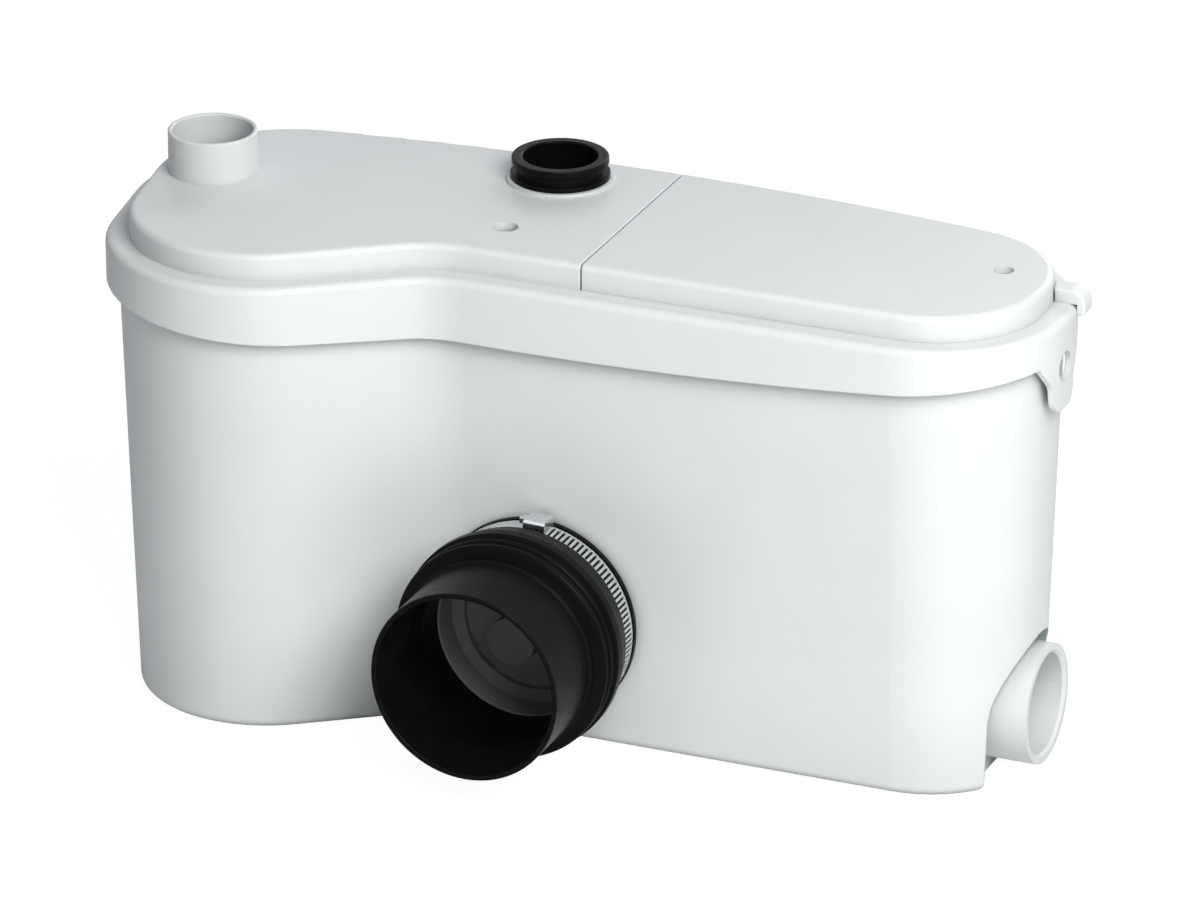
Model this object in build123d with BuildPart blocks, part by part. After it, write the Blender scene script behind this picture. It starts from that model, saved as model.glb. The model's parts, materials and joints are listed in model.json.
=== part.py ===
from build123d import *
import os
from math import acos, atan2, cos, degrees, radians, sin, sqrt, tan

# Macerator toilet pump: tank, lid, motor, macerator pump, valves and connections.
# Millimetres, +Z up. The origin is on the floor under the middle of the tank.
# The side inlet is at the +X end and the toilet sleeve points along -Y.

# Shared values
overrun = 2
reach = 800
running = 0.05
face_gap = 0.3
centre_low = (Align.CENTER, Align.CENTER, Align.MIN)
centre_end = (Align.CENTER, Align.MIN)
end_centre = (Align.MIN, Align.CENTER)

# Plan outline of the top panel: two lobe circles, a long back arc, a round end, a waist
lobe_front_x = -164.5
lobe_front_y = -61.5
lobe_front_radius = 70
lobe_back_x = -169
lobe_back_radius = 72
back_arc_radius = 1290
back_apex_x = 10
back_apex_y = 65.8
end_x = 251
end_back_radius = 62
end_flat = 7.2
front_y = -74.5
waist_radius = 60
waist_slope = 35.5

# Tank: a drafted shell with a recess round the side inlet
tank_height = 250
tank_rim_grow = 6.3
tank_draft = 1.75
tank_wall = 3.5
tank_floor = 4
tank_edge = 5.5
recess_depth = 22
recess_radius = 39

# Toilet spigot on the tank and the flap valve in it
sleeve_x = -2.4
sleeve_z = 69.5
spigot_length = 28.5
spigot_inside = 6
spigot_radius = 50
spigot_wall = 3.5
seat_behind = 16
seat_thickness = 3
seat_liner = 1.2
seat_width = 8.5
inlet_flap_overlap = 2
inlet_flap_thickness = 2.5
inlet_flap_boss_radius = 13
inlet_flap_boss_length = 33
inlet_hinge_gap = 2.5
hinge_pin_radius = 1.5
knuckle_radius = 3
knuckle_width = 12
ear_width = 3
ear_side_gap = 0.5

# Rubber sleeve that joins the toilet to the tank
sleeve_rear_gap = 4.5
sleeve_length = 97
sleeve_mouth_grow = 2
sleeve_mouth_wall = 3
sleeve_mouth_length = 42
sleeve_lip_start = 42
sleeve_lip_length = 10
sleeve_step_length = 4
sleeve_step_height = 1.5
sleeve_neck_height = 3.9
sleeve_bead_start = 49
sleeve_bead_pitch = 7
sleeve_bead_radius = 1.6
sleeve_ridge_start = 60
sleeve_ridge_height = 6.7
sleeve_ridge_length = 5
sleeve_cone_height = 5.7
sleeve_cone_end_height = 3.2
sleeve_land_start = 80
sleeve_land_wall = 4.3
sleeve_flange_start = 94
sleeve_flange_height = 1.7
sleeve_slope = 1
sleeve_mouth_round = 0.8

# Worm drive clamp on the sleeve
clamp_start = 81
clamp_width = 12
clamp_thickness = 1.2
clamp_tilt = 2
slot_pitch = 2.9
slot_width = 1.35
slot_length = 9.6
slot_count = 62
slot_first_angle = 11
housing_length = 12
housing_height = 5.8
housing_width = 13
housing_round = 2
clamp_screw_radius = 2.2
clamp_screw_rise = 3
clamp_head_radius = 2.7
clamp_head_length = 3.5
clamp_head_slot = 1
clamp_head_slot_depth = 1.5

# Side inlet spigot and its flap valve
inlet_y = -13
inlet_z = 37.3
inlet_radius = 32
inlet_bore = 27
inlet_reach = 6
inlet_chamfer = 1.5
side_flap_radius = 30
side_flap_thickness = 2.5
side_hinge_rise = 34

# Lid: skirt, ledge and the raised left panel
seal_thickness = 2
seal_inset = 0.3
lid_wall = 3
ledge_grow = 12.5
ledge_round = 4
skirt_height = 34.5
arch_x = -10
arch_radius = 2400
panel_height = 14
panel_round = 3.5
split_x = 20.3
split_gap = 0.7
split_round = 0.6
well_inset = 10
well_margin = 6

# Tab at the lid's end
tab_y = -14.5
tab_drop = 49
tab_root_half = 26
tab_waist_half = 15
tab_waist_drop = 33
tab_foot_half = 12.5
tab_corner = 9
tab_hole_radius = 8
tab_hole_drop = 26
tab_top_drop = 12
tab_root_drop = 20

# Waste socket on the left of the lid
socket_x = -210
socket_y = -25
socket_radius = 23.75
socket_bore = 21.25
socket_height = 23
socket_round = 1

# Discharge outlet: raised boss on the lid and a rubber ring in it
outlet_x = -36.5
outlet_y = 33.5
outlet_boss_radius = 28.5
outlet_boss_height = 1.5
outlet_hole_radius = 22
outlet_tube_wall = 2.5
outlet_tube_depth = 18
ring_bore = 19.9
ring_foot_radius = 26.3
ring_foot_height = 2.5
ring_neck_radius = 23.2
ring_neck_height = 5.6
ring_top_radius = 25.7
ring_top_height = 3.4
ring_round = 0.8
ring_shank_depth = 26
ring_grip_depth = 8

# Screws of the lid and of the hatch
screw_radius = 2.5
screw_head_radius = 4.5
screw_head_height = 3
screw_length = 24
screw_slot = 1
screw_slot_depth = 1.2
screw_slot_share = 0.8
lid_screw_x = -36
lid_screw_y = -41
lid_recess_radius = 6.75
lid_recess_depth = 7
lid_boss_radius = 9.5
post_half_width = 8
post_inner_y = -31
post_top_drop = 1
post_thick = 14
post_height = 80
hatch_screw_inset = 28.3
hatch_screw_y = 2.7
hatch_recess_radius = 5.3
hatch_recess_depth = 7
hatch_boss_radius = 7.5

# Hood over the mains lead's outlet
hood_y = 5
hood_width = 12
hood_inside = 12
hood_gap = 0.8
hood_out = 3
hood_rise = 7.5
hood_drop = 6
hood_corner = 8.5
hood_lip_corner = 2.5
hood_round = 1.5
hood_hole_out = 6.5
hood_hole_rise = 3.6
hood_hole_radius = 3
hood_hole_depth = 8

# Motor plate: the tray under the hatch that carries the motor
plate_thickness = 2.5
plate_inset = 4
plate_depth = 26
plate_floor = 3
plate_gap = 0.5
hatch_seal_width = 3.5

# Motor
motor_x = 112
motor_y = -4
motor_radius = 48
motor_wall = 3
motor_low = 64
motor_floor = 6
motor_lug_radius = 6
motor_lug_ring_radius = 50.5
motor_lug_height = 12
motor_cap_thickness = 6
shaft_radius = 6
shaft_low = 14
shaft_clearance = 1
bearing_radius = 16
bearing_width = 10
bearing_seat_wall = 3
bearing_seat_drop = 2
stator_bore = 26
stator_drop = 48
stator_rise = 51
slot_hole_radius = 4
slot_ring_radius = 34
slot_holes = 12
winding_inner = 29
winding_outer = 43
winding_height = 14
winding_clear = 0.2
rotor_radius = 25.5
rotor_extra = 2
plate_screw_head_radius = 4
plate_screw_head_height = 2.5
plate_screw_radius = 2
plate_screw_length = 14

# Pump
volute_radius = 50
volute_low = 28
volute_high = 60
chamber_radius = 44
chamber_high = 54
neck_radius = 30
seal_radius = 12
seal_low = 56
cutter_plate_thickness = 4
eye_radius = 18
shred_hole_radius = 3
shred_ring_radius = 34
shred_holes = 12
basket_low = 10
basket_wall = 3
basket_slot_width = 8
basket_slot_margin = 3
basket_slots = 12
foot_radius = 6
foot_ring_radius = 38
blade_rise = 5
blade_thickness = 4
blade_reach = 40
blade_width = 12
blade_hub_radius = 10
impeller_radius = 38
impeller_hub_radius = 10
impeller_disc_low = 47
impeller_disc_thickness = 3
vane_low = 31
vane_thickness = 3
vane_count = 6
vane_lean = 25
pump_pipe_z = 42.4
pump_pipe_radius = 14
pump_pipe_bore = 11
pump_pipe_end_x = 10

# Discharge elbow, check valve and rising pipe
elbow_start_x = 30
elbow_bend = 30
elbow_wall = 3.5
elbow_rise = 20
valve_low_gap = 4
valve_radius = 27
valve_wall = 3
valve_floor = 4
valve_body_height = 42
valve_cap_height = 20
valve_flap_radius = 14
valve_flap_thickness = 2.5
valve_hinge_out = 17
valve_knuckle_width = 8
rising_radius = 17
rising_wall = 3
rising_insert = 14

# Level switch: dip tube, membrane, cover, plunger and microswitch
level_x = 47
level_y = -2
dip_radius = 11
dip_wall = 2
dip_low = 30
dip_port_radius = 7
membrane_radius = 15
membrane_thickness = 1
cover_radius = 16.5
cover_wall = 1.5
cover_height = 8
plunger_radius = 2
plunger_foot_radius = 6
plunger_foot_height = 1.6
plunger_rise = 6
plunger_travel = 2.5
switch_length = 20
switch_width = 7
switch_height = 10
switch_gap = 0.8
post_width = 3

# Electrical parts on the motor plate
capacitor_radius = 12
capacitor_length = 56
capacitor_y = 33
capacitor_stud_radius = 4
capacitor_stud_length = 3
clip_width = 10
clip_wall = 1.2
terminal_x = 48
terminal_y = -30
terminal_length = 34
terminal_width = 18
terminal_height = 14
terminal_pole_radius = 2.2
terminal_pole_depth = 6
terminal_poles = 3
terminal_pitch = 10

# Levels that follow from the sizes above
ledge_low = tank_height + seal_thickness
ledge_z = ledge_low + lid_wall
panel_z = ledge_z + panel_height
skirt_z = ledge_z - skirt_height
plate_low = ledge_z - plate_depth
plate_top = plate_low + plate_floor
sleeve_rear_y = front_y - sleeve_rear_gap
sleeve_mouth_y = sleeve_rear_y - sleeve_length
spigot_mouth_y = front_y - spigot_length
spigot_bore = spigot_radius - spigot_wall
seat_y = spigot_mouth_y + seat_behind
seat_bore = spigot_bore - seat_width
inlet_flap_radius = seat_bore + inlet_flap_overlap
inlet_hinge_rise = inlet_flap_radius + inlet_hinge_gap
recess_x = end_x - recess_depth
hatch_screw_x = end_x - hatch_screw_inset
panel_under = panel_z - lid_wall


def turned(angle, length):
    """A vector of this length at this angle from +X."""
    return Vector(length * cos(radians(angle)), length * sin(radians(angle)))


def heading(vector):
    """The angle of a plan vector from +X, in degrees."""
    return degrees(atan2(vector.Y, vector.X))


def touching_back(x, radius):
    """Centre of a circle that touches the back arc from inside."""
    rise = sqrt((back_arc_radius - radius) ** 2 - (x - back_apex_x) ** 2)
    return Vector(x, back_apex_y - back_arc_radius + rise)


# Centres and tangent angles of the plan outline
back_centre = Vector(back_apex_x, back_apex_y - back_arc_radius)
lobe_front = Vector(lobe_front_x, lobe_front_y)
lobe_back = touching_back(lobe_back_x, lobe_back_radius)
end_back = touching_back(end_x - end_back_radius, end_back_radius)
end_front_radius = end_back.Y - end_flat - front_y
end_front = Vector(end_x - end_front_radius, front_y + end_front_radius)
lobe_step = lobe_back - lobe_front
lobe_side_angle = heading(lobe_step) + degrees(
    acos((lobe_front_radius - lobe_back_radius) / lobe_step.length)
)
waist_normal = 270 + waist_slope
waist_y = front_y - waist_radius
waist_line = lobe_front.dot(turned(waist_normal, 1)) + lobe_front_radius + waist_radius
waist_x = (waist_line - waist_y * sin(radians(waist_normal))) / cos(radians(waist_normal))
waist_centre = Vector(waist_x, waist_y)


def kidney(grow):
    """Edges of the plan outline, moved outwards by grow."""
    back_right = heading(end_back - back_centre)
    back_left = heading(lobe_back - back_centre)
    lobe_size = lobe_front_radius + grow
    with BuildLine() as outline:
        CenterArc(end_front, end_front_radius + grow, -90, 90)
        Line((end_x + grow, end_front.Y), (end_x + grow, end_back.Y))
        CenterArc(end_back, end_back_radius + grow, 0, back_right)
        CenterArc(back_centre, back_arc_radius + grow, back_right, back_left - back_right)
        CenterArc(lobe_back, lobe_back_radius + grow, back_left, lobe_side_angle - back_left)
        Line(
            lobe_back + turned(lobe_side_angle, lobe_back_radius + grow),
            lobe_front + turned(lobe_side_angle, lobe_size),
        )
        CenterArc(lobe_front, lobe_size, lobe_side_angle, waist_normal - lobe_side_angle)
        Line(
            lobe_front + turned(waist_normal, lobe_size),
            waist_centre + turned(waist_normal - 180, waist_radius - grow),
        )
        CenterArc(waist_centre, waist_radius - grow, waist_normal - 180, -waist_slope)
        Line((waist_x, front_y - grow), (end_front.X, front_y - grow))
    return outline.edges()


def tank_grow(height):
    """How far the tank's outside stands out from the panel outline at this height."""
    return tank_rim_grow - (tank_height - height) * tan(radians(tank_draft))


def keep_right_of(x):
    """Keep only what lies at more than this x of the open sketch."""
    with Locations((x, 0)):
        Rectangle(reach, reach, align=(Align.MIN, Align.CENTER), mode=Mode.INTERSECT)


def keep_left_of(x):
    """Keep only what lies at less than this x of the open sketch."""
    with Locations((x, 0)):
        Rectangle(reach, reach, align=(Align.MAX, Align.CENTER), mode=Mode.INTERSECT)


def sleeve_plane(y):
    """Plane square to the toilet inlet's axis, facing the toilet."""
    return Plane(origin=(sleeve_x, y, sleeve_z), x_dir=(1, 0, 0), z_dir=(0, -1, 0))


def inlet_plane(x):
    """Plane square to the side inlet's axis, facing outwards."""
    return Plane(origin=(x, inlet_y, inlet_z), x_dir=(0, 1, 0), z_dir=(1, 0, 0))


def recess_profile(radius):
    """Arch of the recess round the side inlet, open to the floor, in the open sketch."""
    Circle(radius)
    Rectangle(2 * radius, inlet_z + overrun, align=(Align.CENTER, Align.MAX))


# Tank cavity
with BuildPart() as tank_cavity:
    with BuildSketch(Plane.XY.offset(tank_floor)):
        make_face(kidney(tank_grow(tank_floor) - tank_wall))
    extrude(amount=tank_height - tank_floor + overrun, taper=-tank_draft)
    with BuildSketch(inlet_plane(recess_x - tank_wall)):
        recess_profile(recess_radius + tank_wall)
    extrude(amount=2 * recess_depth, mode=Mode.SUBTRACT)

# Tank with both inlet spigots, hinge ears and the lid screw's post
inlet_hinge_y = seat_y + seat_thickness + face_gap + inlet_flap_thickness + knuckle_radius
inlet_hinge_z = sleeve_z + inlet_hinge_rise
side_hinge_x = recess_x - tank_wall - face_gap - side_flap_thickness - knuckle_radius
side_hinge_z = inlet_z + side_hinge_rise
ear_offset = knuckle_width / 2 + ear_side_gap
inlet_pin_length = 2 * (ear_offset + ear_width)
ear_height = spigot_radius - spigot_wall / 2 - inlet_hinge_rise + knuckle_radius
side_ear_length = recess_x - tank_wall - side_hinge_x
post_top = tank_height - post_top_drop
with BuildPart() as tank:
    with BuildSketch():
        make_face(kidney(tank_grow(0)))
    extrude(amount=tank_height, taper=-tank_draft)
    fillet(tank.edges().group_by(Axis.Z)[0], tank_edge)
    with BuildSketch(inlet_plane(recess_x)):
        recess_profile(recess_radius)
    extrude(amount=2 * recess_depth, mode=Mode.SUBTRACT)
    add(tank_cavity.part, mode=Mode.SUBTRACT)
    with BuildSketch(sleeve_plane(front_y + spigot_inside)):
        Circle(spigot_radius)
    extrude(amount=spigot_length + spigot_inside)
    with BuildSketch(sleeve_plane(front_y + spigot_inside + overrun)):
        Circle(spigot_bore)
    extrude(amount=spigot_length + spigot_inside + 2 * overrun, mode=Mode.SUBTRACT)
    with BuildSketch(sleeve_plane(inlet_hinge_y + knuckle_radius)):
        with Locations((0, inlet_hinge_rise - knuckle_radius)):
            Rectangle(2 * (ear_offset + ear_width), ear_height, align=centre_end)
            Rectangle(2 * ear_offset, ear_height, align=centre_end, mode=Mode.SUBTRACT)
    extrude(amount=inlet_hinge_y + knuckle_radius - seat_y - seat_thickness)
    with BuildSketch(inlet_plane(recess_x)):
        Circle(inlet_radius)
    extrude(amount=recess_depth + inlet_reach)
    with BuildSketch(inlet_plane(recess_x - tank_wall - overrun)):
        Circle(inlet_bore)
    extrude(amount=tank_wall + recess_depth + inlet_reach + 2 * overrun, mode=Mode.SUBTRACT)
    chamfer(
        tank.edges().filter_by(GeomType.CIRCLE).filter_by(
            lambda edge: abs(edge.radius - inlet_bore) < running and edge.center().X > end_x
        ),
        inlet_chamfer,
    )
    with BuildSketch(Plane.XZ.offset(-inlet_y)):
        with Locations((side_hinge_x, side_hinge_z)):
            Rectangle(side_ear_length, 2 * knuckle_radius, align=end_centre)
            Circle(knuckle_radius)
    extrude(amount=ear_offset + ear_width, both=True)
    with BuildSketch(Plane.XZ.offset(-inlet_y)):
        with Locations((side_hinge_x, side_hinge_z)):
            Rectangle(side_ear_length + knuckle_radius, 3 * knuckle_radius)
            Rectangle(side_ear_length, 3 * knuckle_radius, align=end_centre)
    extrude(amount=ear_offset, both=True, mode=Mode.SUBTRACT)
    with BuildSketch(Plane.YZ.offset(lid_screw_x - post_half_width)):
        with BuildLine():
            Polyline(
                (front_y - tank_wall, post_top),
                (post_inner_y, post_top),
                (post_inner_y, post_top - post_thick),
                (front_y - tank_wall, post_top - post_height),
                close=True,
            )
        make_face()
    extrude(amount=2 * post_half_width)
    with Locations((lid_screw_x, lid_screw_y, post_top - screw_length)):
        Cylinder(screw_radius + running, screw_length + overrun, align=centre_low, mode=Mode.SUBTRACT)
    with Locations((sleeve_x, inlet_hinge_y, inlet_hinge_z)):
        Cylinder(hinge_pin_radius, inlet_pin_length, rotation=(0, 90, 0), mode=Mode.SUBTRACT)
    with Locations((side_hinge_x, inlet_y, side_hinge_z)):
        Cylinder(hinge_pin_radius, inlet_pin_length + overrun, rotation=(90, 0, 0), mode=Mode.SUBTRACT)

# Rubber seat of the toilet inlet flap, lining the spigot
with BuildPart() as inlet_seat:
    with BuildSketch(sleeve_plane(seat_y + seat_thickness)):
        Circle(spigot_bore)
        Circle(seat_bore, mode=Mode.SUBTRACT)
    extrude(amount=seat_thickness)
    with BuildSketch(sleeve_plane(seat_y)):
        Circle(spigot_bore)
        Circle(spigot_bore - seat_liner, mode=Mode.SUBTRACT)
    extrude(amount=seat_y - spigot_mouth_y)

# Toilet inlet flap: a rubber disc with a stiff boss, hung from a pin
with BuildPart() as inlet_flap:
    with BuildSketch(sleeve_plane(seat_y + seat_thickness + face_gap + inlet_flap_thickness)):
        Circle(inlet_flap_radius)
    extrude(amount=inlet_flap_thickness)
    with BuildSketch(sleeve_plane(seat_y + seat_thickness + face_gap + inlet_flap_thickness)):
        Circle(inlet_flap_boss_radius)
    extrude(amount=inlet_flap_boss_length)
    with BuildSketch(Plane.YZ.offset(sleeve_x)):
        with Locations((inlet_hinge_y, inlet_hinge_z)):
            Circle(knuckle_radius)
            Rectangle(knuckle_radius, 3 * knuckle_radius, align=(Align.MAX, Align.MAX))
    extrude(amount=knuckle_width / 2, both=True)
    with Locations((sleeve_x, inlet_hinge_y, inlet_hinge_z)):
        Cylinder(hinge_pin_radius + running, reach, rotation=(0, 90, 0), mode=Mode.SUBTRACT)

# Pin of the toilet inlet flap
with BuildPart() as inlet_flap_pin:
    with Locations((sleeve_x, inlet_hinge_y, inlet_hinge_z)):
        Cylinder(hinge_pin_radius, inlet_pin_length, rotation=(0, 90, 0))

# Side inlet flap
with BuildPart() as side_flap:
    with BuildSketch(inlet_plane(recess_x - tank_wall - face_gap - side_flap_thickness)):
        Circle(side_flap_radius)
    extrude(amount=side_flap_thickness)
    with BuildSketch(Plane.XZ.offset(-inlet_y)):
        with Locations((side_hinge_x, side_hinge_z)):
            Circle(knuckle_radius)
            Rectangle(knuckle_radius, 3 * knuckle_radius, align=(Align.MIN, Align.MAX))
    extrude(amount=knuckle_width / 2, both=True)
    with Locations((side_hinge_x, inlet_y, side_hinge_z)):
        Cylinder(hinge_pin_radius + running, reach, rotation=(90, 0, 0), mode=Mode.SUBTRACT)

# Pin of the side inlet flap
with BuildPart() as side_flap_pin:
    with Locations((side_hinge_x, inlet_y, side_hinge_z)):
        Cylinder(hinge_pin_radius, inlet_pin_length, rotation=(90, 0, 0))

# Rubber sleeve: plain mouth, beaded shoulder, smooth cone, clamp land and end flange
sleeve_rib = Plane(origin=(sleeve_x, sleeve_mouth_y, sleeve_z), x_dir=(0, 1, 0), z_dir=(1, 0, 0))
sleeve_axis = Axis((sleeve_x, sleeve_mouth_y, sleeve_z), (0, 1, 0))
spigot_in_sleeve = spigot_mouth_y - sleeve_mouth_y
sleeve_mouth_radius = spigot_radius + sleeve_mouth_grow
sleeve_land_radius = spigot_radius + sleeve_land_wall
sleeve_neck_radius = sleeve_land_radius + sleeve_neck_height
sleeve_ridge_radius = sleeve_land_radius + sleeve_ridge_height
sleeve_cone_radius = sleeve_land_radius + sleeve_cone_height
sleeve_cone_end_radius = sleeve_land_radius + sleeve_cone_end_height
sleeve_flange_radius = sleeve_land_radius + sleeve_flange_height
sleeve_step_radius = sleeve_mouth_radius + sleeve_step_height
sleeve_bore = sleeve_mouth_radius - sleeve_mouth_wall
sleeve_neck_start = sleeve_mouth_length + sleeve_step_length + sleeve_slope
sleeve_ridge_end = sleeve_ridge_start + sleeve_slope + sleeve_ridge_length
with BuildPart() as toilet_sleeve:
    with BuildSketch(sleeve_rib):
        with BuildLine():
            Polyline(
                (0, sleeve_mouth_radius),
                (sleeve_mouth_length, sleeve_mouth_radius),
                (sleeve_mouth_length + sleeve_slope, sleeve_step_radius),
                (sleeve_mouth_length + sleeve_step_length, sleeve_step_radius),
                (sleeve_neck_start, sleeve_neck_radius),
                (sleeve_ridge_start, sleeve_neck_radius),
                (sleeve_ridge_start + sleeve_slope, sleeve_ridge_radius),
                (sleeve_ridge_end, sleeve_ridge_radius),
                (sleeve_ridge_end, sleeve_cone_radius),
                (sleeve_land_start - sleeve_slope, sleeve_cone_end_radius),
                (sleeve_land_start, sleeve_land_radius),
                (sleeve_flange_start, sleeve_land_radius),
                (sleeve_flange_start, sleeve_flange_radius),
                (sleeve_length, sleeve_flange_radius),
                (sleeve_length, spigot_radius),
                (spigot_in_sleeve, spigot_radius),
                (spigot_in_sleeve, spigot_bore),
                (sleeve_lip_start + sleeve_lip_length, spigot_bore),
                (sleeve_lip_start, sleeve_bore),
                (0, sleeve_bore),
                close=True,
            )
        make_face()
        with Locations(
            (sleeve_bead_start, sleeve_neck_radius),
            (sleeve_bead_start + sleeve_bead_pitch, sleeve_neck_radius),
        ):
            Circle(sleeve_bead_radius)
    revolve(axis=sleeve_axis)
    fillet(toilet_sleeve.edges().group_by(Axis.Y)[0], sleeve_mouth_round)

# Clamp band with its row of slots
clamp_low_y = sleeve_mouth_y + clamp_start
clamp_mid_y = clamp_low_y + clamp_width / 2
band_radius = sleeve_land_radius + clamp_thickness
slot_step = degrees(slot_pitch / band_radius)
with BuildPart() as clamp_band:
    with BuildSketch(sleeve_plane(clamp_low_y + clamp_width)):
        Circle(band_radius)
        Circle(sleeve_land_radius, mode=Mode.SUBTRACT)
    extrude(amount=clamp_width)
    for slot in range(slot_count):
        angle = 90 - clamp_tilt - slot_first_angle - slot * slot_step
        outward = Vector(cos(radians(angle)), 0, sin(radians(angle)))
        middle = Vector(sleeve_x, clamp_mid_y, sleeve_z) + outward * sleeve_land_radius
        with BuildSketch(Plane(origin=middle, x_dir=(0, 1, 0), z_dir=outward)):
            SlotOverall(slot_length, slot_width)
        extrude(amount=2 * clamp_thickness, both=True, mode=Mode.SUBTRACT)

# Housing of the clamp's worm screw, seated on the band
tilt = radians(clamp_tilt)
clamp_side = Vector(cos(tilt), 0, -sin(tilt))
clamp_up = Vector(sin(tilt), 0, cos(tilt))
clamp_centre = Vector(sleeve_x, clamp_mid_y, sleeve_z)
housing_plane = Plane(origin=clamp_centre, x_dir=clamp_side, z_dir=(0, -1, 0))
housing_shift = housing_length / 4
screw_height = band_radius + clamp_screw_rise
screw_start = clamp_centre + clamp_up * screw_height - clamp_side * (housing_length / 2 - housing_shift)
clamp_head_end = screw_start - clamp_side * (face_gap + clamp_head_length)
with BuildPart() as clamp_housing:
    with BuildSketch(housing_plane):
        with Locations((housing_shift, band_radius - clamp_thickness)):
            Rectangle(housing_length, housing_height + clamp_thickness, align=(Align.CENTER, Align.MIN))
        Circle(band_radius, mode=Mode.SUBTRACT)
    extrude(amount=housing_width / 2, both=True)
    crown_edges = clamp_housing.edges().filter_by(Axis(clamp_centre, clamp_side)).sort_by(Axis.Z)[-2:]
    fillet(crown_edges, housing_round)
    with BuildSketch(Plane(origin=screw_start, z_dir=clamp_side)):
        Circle(clamp_screw_radius + running)
    extrude(amount=housing_length, mode=Mode.SUBTRACT)

# Worm screw of the clamp, with a slotted head
with BuildPart() as clamp_screw:
    with BuildSketch(Plane(origin=screw_start, z_dir=clamp_side)):
        Circle(clamp_screw_radius)
    extrude(amount=housing_length)
    with BuildSketch(Plane(origin=screw_start - clamp_side * face_gap, z_dir=-clamp_side)):
        RegularPolygon(clamp_head_radius, 6)
    extrude(amount=clamp_head_length)
    with BuildSketch(Plane(origin=screw_start, z_dir=-clamp_side)):
        Circle(clamp_screw_radius)
    extrude(amount=clamp_head_length)
    with BuildSketch(Plane(origin=clamp_head_end, z_dir=clamp_side)):
        Rectangle(3 * clamp_head_radius, clamp_head_slot)
    extrude(amount=clamp_head_slot_depth, mode=Mode.SUBTRACT)

# Lid tab: a tongue of the skirt
tab_low = ledge_z - tab_drop
with BuildPart() as lid_tab:
    with BuildSketch(Plane.XY.offset(tab_low - overrun)):
        make_face(kidney(ledge_grow))
        make_face(kidney(ledge_grow - lid_wall), mode=Mode.SUBTRACT)
    extrude(amount=tab_drop - tab_top_drop + overrun)
    with BuildSketch(Plane(origin=(recess_x, tab_y, ledge_z), x_dir=(0, 1, 0), z_dir=(1, 0, 0))):
        with BuildLine():
            half = FilletPolyline(
                (0, -tab_drop),
                (tab_foot_half, -tab_drop),
                (tab_waist_half, -tab_waist_drop),
                (tab_root_half, -tab_root_drop),
                (tab_root_half, 0),
                (0, 0),
                radius=tab_corner,
            )
            mirror(half, about=Plane.YZ)
        make_face()
    extrude(amount=2 * recess_depth, mode=Mode.INTERSECT)

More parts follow.
